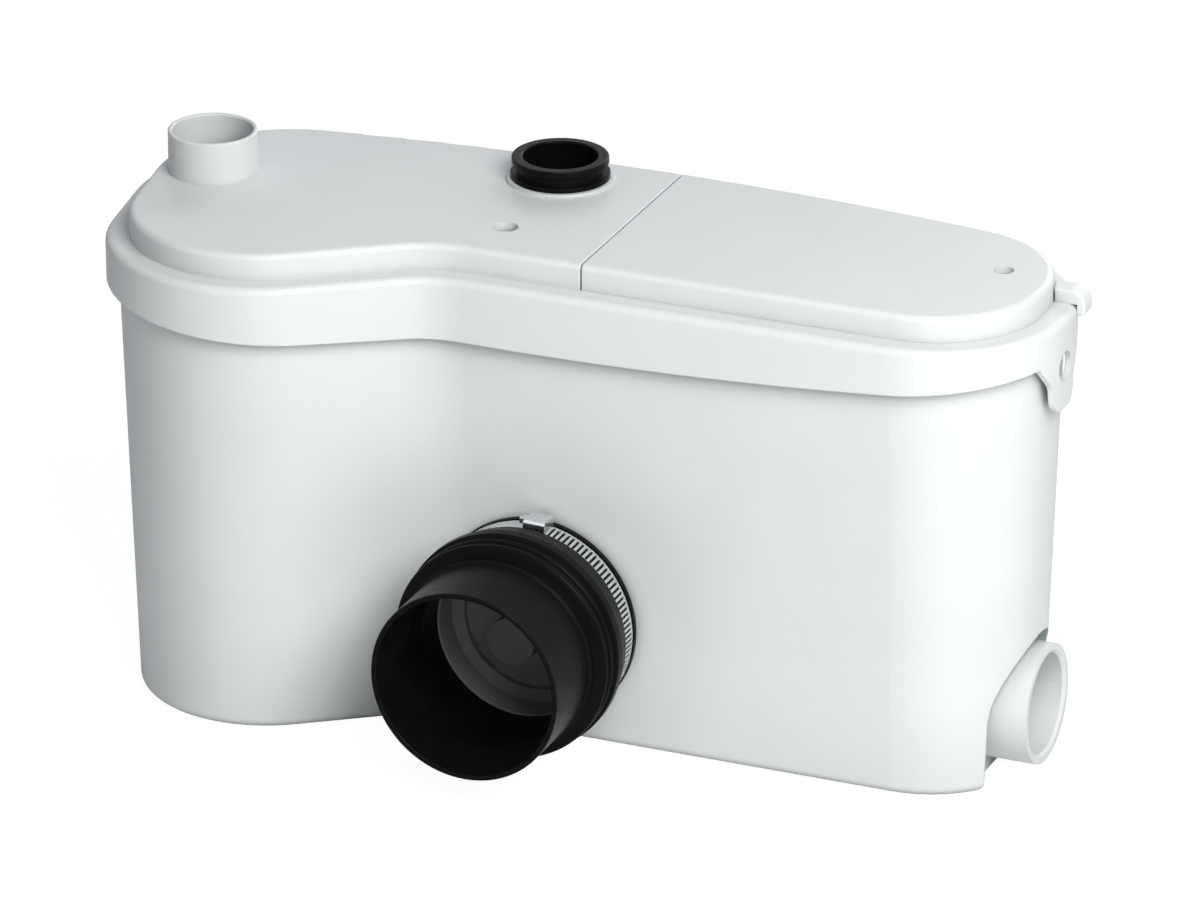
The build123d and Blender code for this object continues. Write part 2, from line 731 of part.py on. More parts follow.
# Lid: skirt, ledge, left panel, waste socket, outlet boss and screw recess
with BuildPart() as lid:
    with BuildSketch(Plane.XY.offset(skirt_z - overrun)):
        make_face(kidney(ledge_grow))
    extrude(amount=skirt_height + overrun)
    fillet(lid.edges().group_by(Axis.Z)[-1], ledge_round)
    with BuildSketch(Plane.XY.offset(ledge_low)):
        make_face(kidney(0))
        keep_left_of(split_x - split_gap / 2)
    extrude(amount=panel_z - ledge_low)
    fillet(lid.edges().group_by(Axis.Z)[-1].sort_by(Axis.X)[:-1], panel_round)
    fillet(lid.edges().group_by(Axis.Z)[-1].sort_by(Axis.X)[-1], split_round)
    with BuildSketch(Plane.XY.offset(panel_under)):
        with Locations((socket_x, socket_y)):
            Circle(socket_radius)
    extrude(amount=lid_wall + socket_height)
    with BuildSketch(Plane.XY.offset(skirt_z - 2 * overrun)):
        make_face(kidney(ledge_grow - lid_wall))
    extrude(amount=ledge_low - skirt_z + 2 * overrun, mode=Mode.SUBTRACT)
    with BuildSketch(Plane.XY.offset(ledge_low - overrun)):
        make_face(kidney(-lid_wall))
        keep_left_of(split_x - split_gap / 2 - lid_wall)
    extrude(amount=panel_under - ledge_low + overrun, mode=Mode.SUBTRACT)
    with BuildSketch(Plane.XY.offset(ledge_low - overrun)):
        make_face(kidney(-well_inset))
        keep_right_of(split_x + well_margin)
    extrude(amount=lid_wall + 2 * overrun, mode=Mode.SUBTRACT)
    with BuildSketch(Plane.XZ):
        with Locations((arch_x, skirt_z)):
            Rectangle(reach, 2 * (skirt_height - lid_wall - ledge_round))
        with Locations((arch_x, skirt_z + arch_radius)):
            Circle(arch_radius, mode=Mode.SUBTRACT)
    extrude(amount=reach / 2, both=True, mode=Mode.SUBTRACT)
    add(lid_tab.part)
    with BuildSketch(Plane(origin=(recess_x, tab_y, ledge_z - tab_hole_drop), z_dir=(1, 0, 0))):
        Circle(tab_hole_radius)
    extrude(amount=2 * recess_depth, mode=Mode.SUBTRACT)
    with BuildSketch(Plane.XY.offset(panel_under - outlet_tube_depth)):
        with Locations((outlet_x, outlet_y)):
            Circle(outlet_hole_radius + outlet_tube_wall)
    extrude(amount=outlet_tube_depth)
    with BuildSketch(Plane.XY.offset(panel_under)):
        with Locations((outlet_x, outlet_y)):
            Circle(outlet_boss_radius)
    extrude(amount=lid_wall + outlet_boss_height)
    with BuildSketch(Plane.XY.offset(panel_under - outlet_tube_depth - overrun)):
        with Locations((outlet_x, outlet_y)):
            Circle(outlet_hole_radius)
        with Locations((socket_x, socket_y)):
            Circle(socket_bore)
    extrude(amount=socket_height + lid_wall + outlet_tube_depth + 2 * overrun, mode=Mode.SUBTRACT)
    with BuildSketch(Plane.XY.offset(post_top)):
        with Locations((lid_screw_x, lid_screw_y)):
            Circle(lid_boss_radius)
    extrude(amount=panel_under - post_top)
    with BuildSketch(Plane.XY.offset(panel_z - lid_recess_depth)):
        with Locations((lid_screw_x, lid_screw_y)):
            Circle(lid_recess_radius)
    extrude(amount=lid_recess_depth + overrun, mode=Mode.SUBTRACT)
    with Locations((lid_screw_x, lid_screw_y, post_top - overrun)):
        Cylinder(screw_radius + running, panel_height + tank_height, align=centre_low, mode=Mode.SUBTRACT)
    rims = lid.edges().filter_by(GeomType.CIRCLE).group_by(Axis.Z)[-1]
    fillet(rims, socket_round)

# Screw that holds the lid down on the tank's post
lid_head_z = panel_z - lid_recess_depth
slot_reach = 2 * screw_head_radius * screw_slot_share
with BuildPart() as lid_screw:
    with Locations((lid_screw_x, lid_screw_y, lid_head_z)):
        Cylinder(screw_head_radius, screw_head_height, align=centre_low)
        Cylinder(screw_radius, screw_length, align=(Align.CENTER, Align.CENTER, Align.MAX))
    with Locations((lid_screw_x, lid_screw_y, lid_head_z + screw_head_height - screw_slot_depth)):
        Box(slot_reach, screw_slot, 2 * screw_slot_depth, align=centre_low, mode=Mode.SUBTRACT)
        Box(screw_slot, slot_reach, 2 * screw_slot_depth, align=centre_low, mode=Mode.SUBTRACT)

# Gasket between tank and lid
with BuildPart() as lid_seal:
    with BuildSketch(Plane.XY.offset(tank_height)):
        make_face(kidney(tank_rim_grow - seal_inset))
        make_face(kidney(tank_rim_grow - tank_wall + seal_inset), mode=Mode.SUBTRACT)
    extrude(amount=seal_thickness)

# Motor plate: flange on the ledge, drafted tray below, hatch screw post
flange_z = ledge_z + plate_thickness
seal_top = flange_z + seal_thickness
well_x = split_x + well_margin
seal_left_x = split_x + split_gap / 2 + lid_wall
with BuildPart() as motor_plate:
    with BuildSketch(Plane.XY.offset(ledge_z)):
        make_face(kidney(-plate_inset))
        keep_right_of(seal_left_x)
    extrude(amount=plate_thickness)
    with BuildSketch(Plane.XY.offset(plate_low)):
        make_face(kidney(-well_inset - plate_gap))
        keep_right_of(well_x + plate_gap)
    extrude(amount=plate_depth)
    with BuildSketch(Plane.XY.offset(plate_top)):
        make_face(kidney(-well_inset - plate_gap - plate_thickness))
        keep_right_of(well_x + plate_gap + plate_thickness)
    extrude(amount=plate_depth + overrun, mode=Mode.SUBTRACT)
    with BuildSketch(Plane.XY.offset(plate_top)):
        with Locations((hatch_screw_x, hatch_screw_y)):
            Circle(hatch_boss_radius)
    extrude(amount=panel_z - hatch_recess_depth - lid_wall - plate_top)
    with Locations((hatch_screw_x, hatch_screw_y, plate_top + overrun)):
        Cylinder(screw_radius + running, reach, align=centre_low, mode=Mode.SUBTRACT)
    with Locations((motor_x, motor_y, plate_low - overrun)):
        with PolarLocations(motor_lug_ring_radius, 4, start_angle=45):
            Cylinder(plate_screw_radius, reach, align=centre_low, mode=Mode.SUBTRACT)
    with Locations((level_x, level_y, plate_low - overrun)):
        Cylinder(dip_port_radius, plate_floor + 2 * overrun, align=centre_low, mode=Mode.SUBTRACT)

# Screws that carry the motor
with BuildPart() as plate_screws:
    with Locations((motor_x, motor_y, plate_top)):
        with PolarLocations(motor_lug_ring_radius, 4, start_angle=45):
            Cylinder(plate_screw_head_radius, plate_screw_head_height, align=centre_low)
            Cylinder(plate_screw_radius, plate_screw_length, align=(Align.CENTER, Align.CENTER, Align.MAX))

# Gasket under the service hatch
seal_outer_x = seal_left_x + seal_inset
with BuildSketch() as seal_inner:
    make_face(kidney(-plate_inset - seal_inset - hatch_seal_width))
    keep_right_of(seal_outer_x + hatch_seal_width)
with BuildSketch() as seal_outline:
    make_face(kidney(-plate_inset - seal_inset))
    keep_right_of(seal_outer_x)
    add(seal_inner.sketch, mode=Mode.SUBTRACT)
seal_ring = seal_outline.sketch
with BuildPart() as hatch_seal:
    with BuildSketch(Plane.XY.offset(flange_z)):
        add(seal_ring)
    extrude(amount=seal_thickness)

# Service hatch: hollow cap over the motor plate, with a rib on the gasket
with BuildPart() as service_hatch:
    with BuildSketch(Plane.XY.offset(ledge_z)):
        make_face(kidney(0))
        keep_right_of(split_x + split_gap / 2)
    extrude(amount=panel_height)
    fillet(service_hatch.edges().group_by(Axis.Z)[-1].sort_by(Axis.X)[1:], panel_round)
    fillet(service_hatch.edges().group_by(Axis.Z)[-1].sort_by(Axis.X)[0], split_round)
    with BuildSketch(Plane.XY.offset(ledge_z)):
        make_face(kidney(-lid_wall))
        keep_right_of(split_x + split_gap / 2 + lid_wall)
    extrude(amount=panel_height - lid_wall, mode=Mode.SUBTRACT)
    with BuildSketch(Plane.XY.offset(seal_top)):
        add(seal_ring)
    extrude(amount=panel_under - seal_top)
    with BuildSketch(Plane.XY.offset(panel_z - hatch_recess_depth - lid_wall)):
        with Locations((hatch_screw_x, hatch_screw_y)):
            Circle(hatch_boss_radius)
    extrude(amount=hatch_recess_depth)
    with BuildSketch(Plane.XY.offset(panel_z - hatch_recess_depth)):
        with Locations((hatch_screw_x, hatch_screw_y)):
            Circle(hatch_recess_radius)
    extrude(amount=hatch_recess_depth + overrun, mode=Mode.SUBTRACT)
    with Locations((hatch_screw_x, hatch_screw_y, ledge_z)):
        Cylinder(screw_radius + running, reach, align=centre_low, mode=Mode.SUBTRACT)

# Screw of the service hatch
hatch_head_z = panel_z - hatch_recess_depth
with BuildPart() as hatch_screw:
    with Locations((hatch_screw_x, hatch_screw_y, hatch_head_z)):
        Cylinder(screw_head_radius, screw_head_height, align=centre_low)
        Cylinder(screw_radius, screw_length, align=(Align.CENTER, Align.CENTER, Align.MAX))
    with Locations((hatch_screw_x, hatch_screw_y, hatch_head_z + screw_head_height - screw_slot_depth)):
        Box(slot_reach, screw_slot, 2 * screw_slot_depth, align=centre_low, mode=Mode.SUBTRACT)
        Box(screw_slot, slot_reach, 2 * screw_slot_depth, align=centre_low, mode=Mode.SUBTRACT)

# Hood over the mains lead's outlet: it stands on the ledge at the right end and laps over its edge
hood_low = ledge_z - hood_drop
hood_long = hood_inside + ledge_grow + hood_out
with BuildPart() as cable_hood:
    with BuildSketch(Plane.XZ.offset(-hood_y)) as hood_side:
        with Locations((end_x - hood_inside, hood_low)):
            Rectangle(hood_long, hood_drop + hood_rise, align=(Align.MIN, Align.MIN))
        fillet(hood_side.vertices().group_by(Axis.X)[-1].sort_by(Axis.Y)[0], hood_lip_corner)
        fillet(hood_side.vertices().group_by(Axis.X)[-1].sort_by(Axis.Y)[-1], hood_corner)
    extrude(amount=-hood_width)
    fillet(cable_hood.faces().filter_by(Axis.Y).edges(), hood_round)
    with BuildSketch(Plane.XY.offset(hood_low - overrun)):
        make_face(kidney(ledge_grow))
    extrude(amount=hood_drop + overrun, mode=Mode.SUBTRACT)
    with BuildSketch(Plane.XY.offset(ledge_z - overrun)):
        make_face(kidney(hood_gap))
    extrude(amount=hood_rise + 2 * overrun, mode=Mode.SUBTRACT)
    with BuildSketch(Plane.XZ.offset(-hood_y - hood_width)):
        with Locations((end_x + hood_hole_out, ledge_z + hood_hole_rise)):
            Circle(hood_hole_radius)
    extrude(amount=hood_hole_depth, mode=Mode.SUBTRACT)

# Rubber outlet ring: two flanges on the boss, a neck and a shank that grips the rising pipe
boss_top = panel_z + outlet_boss_height
ring_foot_top = boss_top + ring_foot_height
ring_neck_top = ring_foot_top + ring_neck_height
ring_top = ring_neck_top + ring_top_height
rising_top = boss_top - ring_shank_depth + ring_grip_depth
with BuildPart() as outlet_ring:
    with BuildSketch(Plane.XZ.offset(-outlet_y)):
        with BuildLine():
            Polyline(
                (outlet_x + rising_radius, boss_top - ring_shank_depth),
                (outlet_x + outlet_hole_radius, boss_top - ring_shank_depth),
                (outlet_x + outlet_hole_radius, boss_top),
                (outlet_x + ring_foot_radius, boss_top),
                (outlet_x + ring_foot_radius, ring_foot_top),
                (outlet_x + ring_neck_radius, ring_foot_top),
                (outlet_x + ring_neck_radius, ring_neck_top),
                (outlet_x + ring_top_radius, ring_neck_top),
                (outlet_x + ring_top_radius, ring_top),
                (outlet_x + ring_bore, ring_top),
                (outlet_x + ring_bore, rising_top),
                (outlet_x + rising_radius, rising_top),
                close=True,
            )
        make_face()
    revolve(axis=Axis((outlet_x, outlet_y, 0), (0, 0, 1)))
    fillet(outlet_ring.edges().group_by(Axis.Z)[-1], ring_round)

# Motor housing: a can with a bearing seat, hung from the motor plate by four lugs
motor_axis = (motor_x, motor_y, 0)
lower_bearing_z = motor_low + motor_floor
seat_low = lower_bearing_z - bearing_seat_drop
with BuildPart() as motor_housing:
    with BuildSketch(Plane.XY.offset(motor_low)):
        with Locations(motor_axis):
            Circle(motor_radius)
    extrude(amount=plate_low - motor_low)
    with BuildSketch(Plane.XY.offset(plate_low - motor_lug_height)):
        with Locations(motor_axis):
            with PolarLocations(motor_lug_ring_radius, 4, start_angle=45):
                Circle(motor_lug_radius)
    extrude(amount=motor_lug_height)
    with BuildSketch(Plane.XY.offset(lower_bearing_z)):
        with Locations(motor_axis):
            Circle(motor_radius - motor_wall)
    extrude(amount=plate_low - lower_bearing_z + overrun, mode=Mode.SUBTRACT)
    with BuildSketch(Plane.XY.offset(seat_low)):
        with Locations(motor_axis):
            Circle(bearing_radius + bearing_seat_wall)
    extrude(amount=bearing_width)
    with BuildSketch(Plane.XY.offset(seat_low)):
        with Locations(motor_axis):
            Circle(bearing_radius)
    extrude(amount=bearing_width + overrun, mode=Mode.SUBTRACT)
    with Locations((motor_x, motor_y, motor_low - overrun)):
        Cylinder(seal_radius, motor_floor, align=centre_low, mode=Mode.SUBTRACT)
    with Locations((motor_x, motor_y, plate_top - plate_screw_length)):
        with PolarLocations(motor_lug_ring_radius, 4, start_angle=45):
            Cylinder(plate_screw_radius, plate_screw_length, align=centre_low, mode=Mode.SUBTRACT)

# Motor end cap with the upper bearing's seat
cap_low = plate_low - motor_cap_thickness
upper_bearing_z = cap_low - bearing_width + bearing_seat_drop
with BuildPart() as motor_cap:
    with Locations((motor_x, motor_y, cap_low)):
        Cylinder(motor_radius - motor_wall, motor_cap_thickness, align=centre_low)
    with Locations((motor_x, motor_y, upper_bearing_z)):
        Cylinder(bearing_radius + bearing_seat_wall, bearing_width, align=centre_low)
        Cylinder(bearing_radius, bearing_width, align=centre_low, mode=Mode.SUBTRACT)

# Bearings and shaft seal
with BuildPart() as upper_bearing:
    with Locations((motor_x, motor_y, upper_bearing_z)):
        Cylinder(bearing_radius, bearing_width, align=centre_low)
        Cylinder(shaft_radius + running, bearing_width, align=centre_low, mode=Mode.SUBTRACT)
with BuildPart() as lower_bearing:
    with Locations((motor_x, motor_y, seat_low)):
        Cylinder(bearing_radius, bearing_width, align=centre_low)
        Cylinder(shaft_radius + running, bearing_width, align=centre_low, mode=Mode.SUBTRACT)
with BuildPart() as shaft_seal:
    with Locations((motor_x, motor_y, seal_low)):
        Cylinder(seal_radius, motor_low - seal_low, align=centre_low)
        Cylinder(shaft_radius + running, motor_low - seal_low, align=centre_low, mode=Mode.SUBTRACT)

# Stator: core with winding holes, and the windings with their two end rings
stator_low = motor_low + stator_rise
stator_high = cap_low - stator_drop
stator_height = stator_high - stator_low
with BuildPart() as stator_core:
    with BuildSketch(Plane.XY.offset(stator_low)):
        with Locations(motor_axis):
            Circle(motor_radius - motor_wall)
            Circle(stator_bore, mode=Mode.SUBTRACT)
            with PolarLocations(slot_ring_radius, slot_holes):
                Circle(slot_hole_radius, mode=Mode.SUBTRACT)
    extrude(amount=stator_height)
with BuildPart() as stator_winding:
    for ring_low in (stator_low - winding_height, stator_high):
        with BuildSketch(Plane.XY.offset(ring_low)):
            with Locations(motor_axis):
                Circle(winding_outer)
                Circle(winding_inner, mode=Mode.SUBTRACT)
        extrude(amount=winding_height)
    with BuildSketch(Plane.XY.offset(stator_low - winding_height / 2)):
        with Locations(motor_axis):
            with PolarLocations(slot_ring_radius, slot_holes):
                Circle(slot_hole_radius - winding_clear)
    extrude(amount=stator_height + winding_height)

# Rotor and shaft
shaft_high = upper_bearing_z + bearing_width
with BuildPart() as motor_shaft:
    with Locations((motor_x, motor_y, shaft_low)):
        Cylinder(shaft_radius, shaft_high - shaft_low - face_gap, align=centre_low)
with BuildPart() as rotor:
    with Locations((motor_x, motor_y, stator_low - rotor_extra)):
        Cylinder(rotor_radius, stator_height + 2 * rotor_extra, align=centre_low)
        Cylinder(shaft_radius, stator_height + 2 * rotor_extra, align=centre_low, mode=Mode.SUBTRACT)

# Pump volute with its neck and tangential outlet pipe
with BuildPart() as pump_volute:
    with BuildSketch(Plane.XY.offset(volute_low)):
        with Locations(motor_axis):
            Circle(volute_radius)
    extrude(amount=volute_high - volute_low)
    with BuildSketch(Plane.XY.offset(volute_high)):
        with Locations(motor_axis):
            Circle(neck_radius)
    extrude(amount=motor_low - volute_high)
    with BuildSketch(Plane.YZ.offset(pump_pipe_end_x)):
        with Locations((outlet_y, pump_pipe_z)):
            Circle(pump_pipe_radius)
    extrude(amount=motor_x - pump_pipe_end_x)
    with BuildSketch(Plane.YZ.offset(pump_pipe_end_x - overrun)):
        with Locations((outlet_y, pump_pipe_z)):
            Circle(pump_pipe_bore)
    extrude(amount=motor_x - pump_pipe_end_x + overrun, mode=Mode.SUBTRACT)
    with BuildSketch(Plane.XY.offset(volute_low)):
        with Locations(motor_axis):
            Circle(chamber_radius)
    extrude(amount=chamber_high - volute_low, mode=Mode.SUBTRACT)
    with Locations((motor_x, motor_y, chamber_high - overrun)):
        Cylinder(shaft_radius + shaft_clearance, seal_low, align=centre_low, mode=Mode.SUBTRACT)
    with Locations((motor_x, motor_y, seal_low)):
        Cylinder(seal_radius, seal_low, align=centre_low, mode=Mode.SUBTRACT)

# Impeller with leaning vanes under its disc
with BuildPart() as impeller:
    with Locations((motor_x, motor_y, impeller_disc_low)):
        Cylinder(impeller_radius, impeller_disc_thickness, align=centre_low)
    with Locations((motor_x, motor_y, vane_low)):
        Cylinder(impeller_hub_radius, impeller_disc_low - vane_low, align=centre_low)
    vane_out = impeller_radius * cos(radians(vane_lean))
    with BuildSketch(Plane.XY.offset(vane_low)):
        with Locations(motor_axis):
            with PolarLocations(impeller_hub_radius - vane_thickness, vane_count):
                with Locations(Location((0, 0, 0), (0, 0, vane_lean))):
                    Rectangle(vane_out - impeller_hub_radius, vane_thickness, align=end_centre)
    extrude(amount=impeller_disc_low - vane_low)
    with Locations((motor_x, motor_y, vane_low)):
        Cylinder(shaft_radius, reach, align=centre_low, mode=Mode.SUBTRACT)

# Fixed cutter plate under the volute, with an eye and a ring of holes
cutter_low = volute_low - cutter_plate_thickness
with BuildPart() as cutter_plate:
    with BuildSketch(Plane.XY.offset(cutter_low)):
        with Locations(motor_axis):
            Circle(volute_radius)
            Circle(eye_radius, mode=Mode.SUBTRACT)
            with PolarLocations(shred_ring_radius, shred_holes):
                Circle(shred_hole_radius, mode=Mode.SUBTRACT)
    extrude(amount=cutter_plate_thickness)

# Macerator basket: a slotted ring with a floor
with BuildPart() as macerator_basket:
    with BuildSketch(Plane.XY.offset(basket_low)):
        with Locations(motor_axis):
            Circle(volute_radius)
    extrude(amount=cutter_low - basket_low)
    with BuildSketch(Plane.XY.offset(basket_low + basket_wall)):
        with Locations(motor_axis):
            Circle(volute_radius - basket_wall)
    extrude(amount=cutter_low - basket_low, mode=Mode.SUBTRACT)
    with BuildSketch(Plane.XY.offset(basket_low + basket_wall)):
        with Locations(motor_axis):
            with PolarLocations(volute_radius, basket_slots):
                Rectangle(4 * basket_wall, basket_slot_width)
    extrude(amount=cutter_low - basket_low - basket_wall - basket_slot_margin, mode=Mode.SUBTRACT)

# Cutter blade on the shaft's lower end
with BuildPart() as cutter_blade:
    with BuildSketch(Plane.XY.offset(basket_low + blade_rise)):
        with Locations(motor_axis):
            Rectangle(2 * blade_reach, blade_width)
            Circle(blade_hub_radius)
            Circle(shaft_radius, mode=Mode.SUBTRACT)
    extrude(amount=blade_thickness)

# Rubber feet between basket and tank floor
with BuildPart() as pump_feet:
    with BuildSketch(Plane.XY.offset(tank_floor)):
        with Locations(motor_axis):
            with PolarLocations(foot_ring_radius, 4, start_angle=45):
                Circle(foot_radius)
    extrude(amount=basket_low - tank_floor)

# Rubber elbow from the pump's pipe up to the check valve
elbow_top = pump_pipe_z + elbow_bend + elbow_rise
with BuildPart() as discharge_elbow:
    with BuildLine(Plane.XZ.offset(-outlet_y)):
        FilletPolyline(
            (elbow_start_x, pump_pipe_z),
            (outlet_x, pump_pipe_z),
            (outlet_x, elbow_top),
            radius=elbow_bend,
        )
    with BuildSketch(Plane.YZ.offset(elbow_start_x)):
        with Locations((outlet_y, pump_pipe_z)):
            Circle(pump_pipe_radius + elbow_wall)
            Circle(pump_pipe_radius, mode=Mode.SUBTRACT)
    sweep()

# Check valve body with its lower spigot, seat and hinge ears
valve_low = elbow_top + valve_low_gap
valve_seat_z = valve_low + valve_floor
valve_high = valve_low + valve_body_height
valve_axis = (outlet_x, outlet_y, 0)
valve_hinge_x = outlet_x + valve_hinge_out
valve_hinge_z = valve_seat_z + face_gap + valve_flap_thickness + knuckle_radius
valve_ear_offset = valve_knuckle_width / 2 + ear_side_gap
valve_ear_height = valve_hinge_z + knuckle_radius - valve_seat_z
with BuildPart() as valve_body:
    with BuildSketch(Plane.XY.offset(valve_low)):
        with Locations(valve_axis):
            Circle(valve_radius)
    extrude(amount=valve_body_height)
    with BuildSketch(Plane.XY.offset(elbow_top - elbow_rise)):
        with Locations(valve_axis):
            Circle(pump_pipe_radius)
    extrude(amount=elbow_rise + valve_low_gap)
    with BuildSketch(Plane.XY.offset(valve_seat_z)):
        with Locations(valve_axis):
            Circle(valve_radius - valve_wall)
    extrude(amount=valve_body_height, mode=Mode.SUBTRACT)
    with BuildSketch(Plane.XY.offset(elbow_top - elbow_rise - overrun)):
        with Locations(valve_axis):
            Circle(pump_pipe_bore)
    extrude(amount=elbow_rise + valve_low_gap + valve_floor + 2 * overrun, mode=Mode.SUBTRACT)
    with BuildSketch(Plane.XY.offset(valve_seat_z)):
        with Locations((valve_hinge_x, outlet_y)):
            Rectangle(2 * knuckle_radius, 2 * (valve_ear_offset + ear_width))
            Rectangle(2 * knuckle_radius, 2 * valve_ear_offset, mode=Mode.SUBTRACT)
    extrude(amount=valve_ear_height)
    with Locations((valve_hinge_x, outlet_y, valve_hinge_z)):
        Cylinder(hinge_pin_radius, 2 * valve_radius, rotation=(90, 0, 0), mode=Mode.SUBTRACT)

# Check valve flap and its pin
valve_pin_length = 2 * (valve_ear_offset + ear_width)
with BuildPart() as valve_flap:
    with BuildSketch(Plane.XY.offset(valve_seat_z + face_gap)):
        with Locations(valve_axis):
            Circle(valve_flap_radius)
            Rectangle(valve_hinge_out, valve_knuckle_width, align=(Align.MIN, Align.CENTER))
    extrude(amount=valve_flap_thickness)
    with BuildSketch(Plane.XZ.offset(-outlet_y)):
        with Locations((valve_hinge_x, valve_hinge_z)):
            Circle(knuckle_radius)
            Rectangle(2 * knuckle_radius, knuckle_radius, align=(Align.MAX, Align.MAX))
    extrude(amount=valve_knuckle_width / 2, both=True)
    with Locations((valve_hinge_x, outlet_y, valve_hinge_z)):
        Cylinder(hinge_pin_radius + running, reach, rotation=(90, 0, 0), mode=Mode.SUBTRACT)
with BuildPart() as valve_flap_pin:
    with Locations((valve_hinge_x, outlet_y, valve_hinge_z)):
        Cylinder(hinge_pin_radius, valve_pin_length, rotation=(90, 0, 0))

# Check valve cap with the rising pipe's socket
cap_top = valve_high + valve_cap_height
rising_low = cap_top - rising_insert
with BuildPart() as valve_cap:
    with BuildSketch(Plane.XY.offset(valve_high)):
        with Locations(valve_axis):
            Circle(valve_radius)
    extrude(amount=valve_wall)
    with BuildSketch(Plane.XY.offset(valve_high)):
        with Locations(valve_axis):
            Circle(rising_radius + valve_wall)
    extrude(amount=valve_cap_height)
    with BuildSketch(Plane.XY.offset(valve_high - overrun)):
        with Locations(valve_axis):
            Circle(rising_radius - rising_wall)
    extrude(amount=valve_cap_height, mode=Mode.SUBTRACT)
    with BuildSketch(Plane.XY.offset(rising_low)):
        with Locations(valve_axis):
            Circle(rising_radius)
    extrude(amount=valve_cap_height, mode=Mode.SUBTRACT)

# Rising pipe from the check valve into the outlet ring
with BuildPart() as discharge_pipe:
    with BuildSketch(Plane.XY.offset(rising_low)):
        with Locations(valve_axis):
            Circle(rising_radius)
            Circle(rising_radius - rising_wall, mode=Mode.SUBTRACT)
    extrude(amount=rising_top - rising_low)

# Level switch: dip tube under the plate, membrane, cover, plunger and microswitch above it
with BuildPart() as dip_tube:
    with BuildSketch(Plane.XY.offset(dip_low)):
        with Locations((level_x, level_y)):
            Circle(dip_radius)
            Circle(dip_radius - dip_wall, mode=Mode.SUBTRACT)
    extrude(amount=plate_low - dip_low)
with BuildPart() as membrane:
    with Locations((level_x, level_y, plate_top)):
        Cylinder(membrane_radius, membrane_thickness, align=centre_low)
membrane_top = plate_top + membrane_thickness
cover_top = membrane_top + cover_height
plunger_foot_z = membrane_top + face_gap
plunger_top = cover_top + plunger_rise
switch_low = plunger_top + plunger_travel + switch_gap
switch_post_height = switch_low + switch_height - cover_top
with BuildPart() as membrane_cover:
    with Locations((level_x, level_y, plate_top)):
        Cylinder(cover_radius, cover_top - plate_top, align=centre_low)
        Cylinder(membrane_radius, membrane_thickness, align=centre_low, mode=Mode.SUBTRACT)
    with Locations((level_x, level_y, plate_top)):
        Cylinder(
            membrane_radius - cover_wall,
            cover_top - cover_wall - plate_top,
            align=centre_low,
            mode=Mode.SUBTRACT,
        )
    with Locations((level_x, level_y, cover_top)):
        Box(switch_length, switch_width + 2 * post_width, switch_post_height, align=centre_low)
        Box(reach, switch_width, reach, align=centre_low, mode=Mode.SUBTRACT)
    with Locations((level_x, level_y, plate_top)):
        Cylinder(plunger_radius + running, reach, align=centre_low, mode=Mode.SUBTRACT)
with BuildPart() as switch_plunger:
    with Locations((level_x, level_y, plunger_foot_z)):
        Cylinder(plunger_foot_radius, plunger_foot_height, align=centre_low)
        Cylinder(plunger_radius, plunger_top - plunger_foot_z, align=centre_low)
with BuildPart() as microswitch:
    with Locations((level_x, level_y, switch_low)):
        Box(switch_length, switch_width, switch_height, align=centre_low)
    chamfer(microswitch.edges().filter_by(Axis.Y), switch_gap)

# Run capacitor, its clip, and the terminal block
capacitor_z = plate_top + capacitor_radius + clip_wall
with BuildPart() as capacitor:
    with Locations((motor_x, capacitor_y, capacitor_z)):
        Cylinder(capacitor_radius, capacitor_length, rotation=(0, 90, 0))
    with Locations((motor_x - capacitor_length / 2, capacitor_y, capacitor_z)):
        Cylinder(
            capacitor_stud_radius,
            capacitor_stud_length,
            rotation=(0, 90, 0),
            align=(Align.CENTER, Align.CENTER, Align.MAX),
        )
with BuildPart() as capacitor_clip:
    with BuildSketch(Plane.YZ.offset(motor_x - clip_width / 2)):
        with Locations((capacitor_y, capacitor_z)):
            Circle(capacitor_radius + clip_wall)
            Rectangle(
                2 * (capacitor_radius + clip_wall),
                capacitor_radius + clip_wall,
                align=(Align.CENTER, Align.MAX),
            )
            Circle(capacitor_radius, mode=Mode.SUBTRACT)
    extrude(amount=clip_width)
with BuildPart() as terminal_block:
    with Locations((terminal_x, terminal_y, plate_top)):
        Box(terminal_length, terminal_width, terminal_height, align=centre_low)
    with Locations((terminal_x, terminal_y, plate_top + terminal_height - terminal_pole_depth)):
        with GridLocations(terminal_pitch, 0, terminal_poles, 1):
            Cylinder(terminal_pole_radius, terminal_pole_depth, align=centre_low, mode=Mode.SUBTRACT)

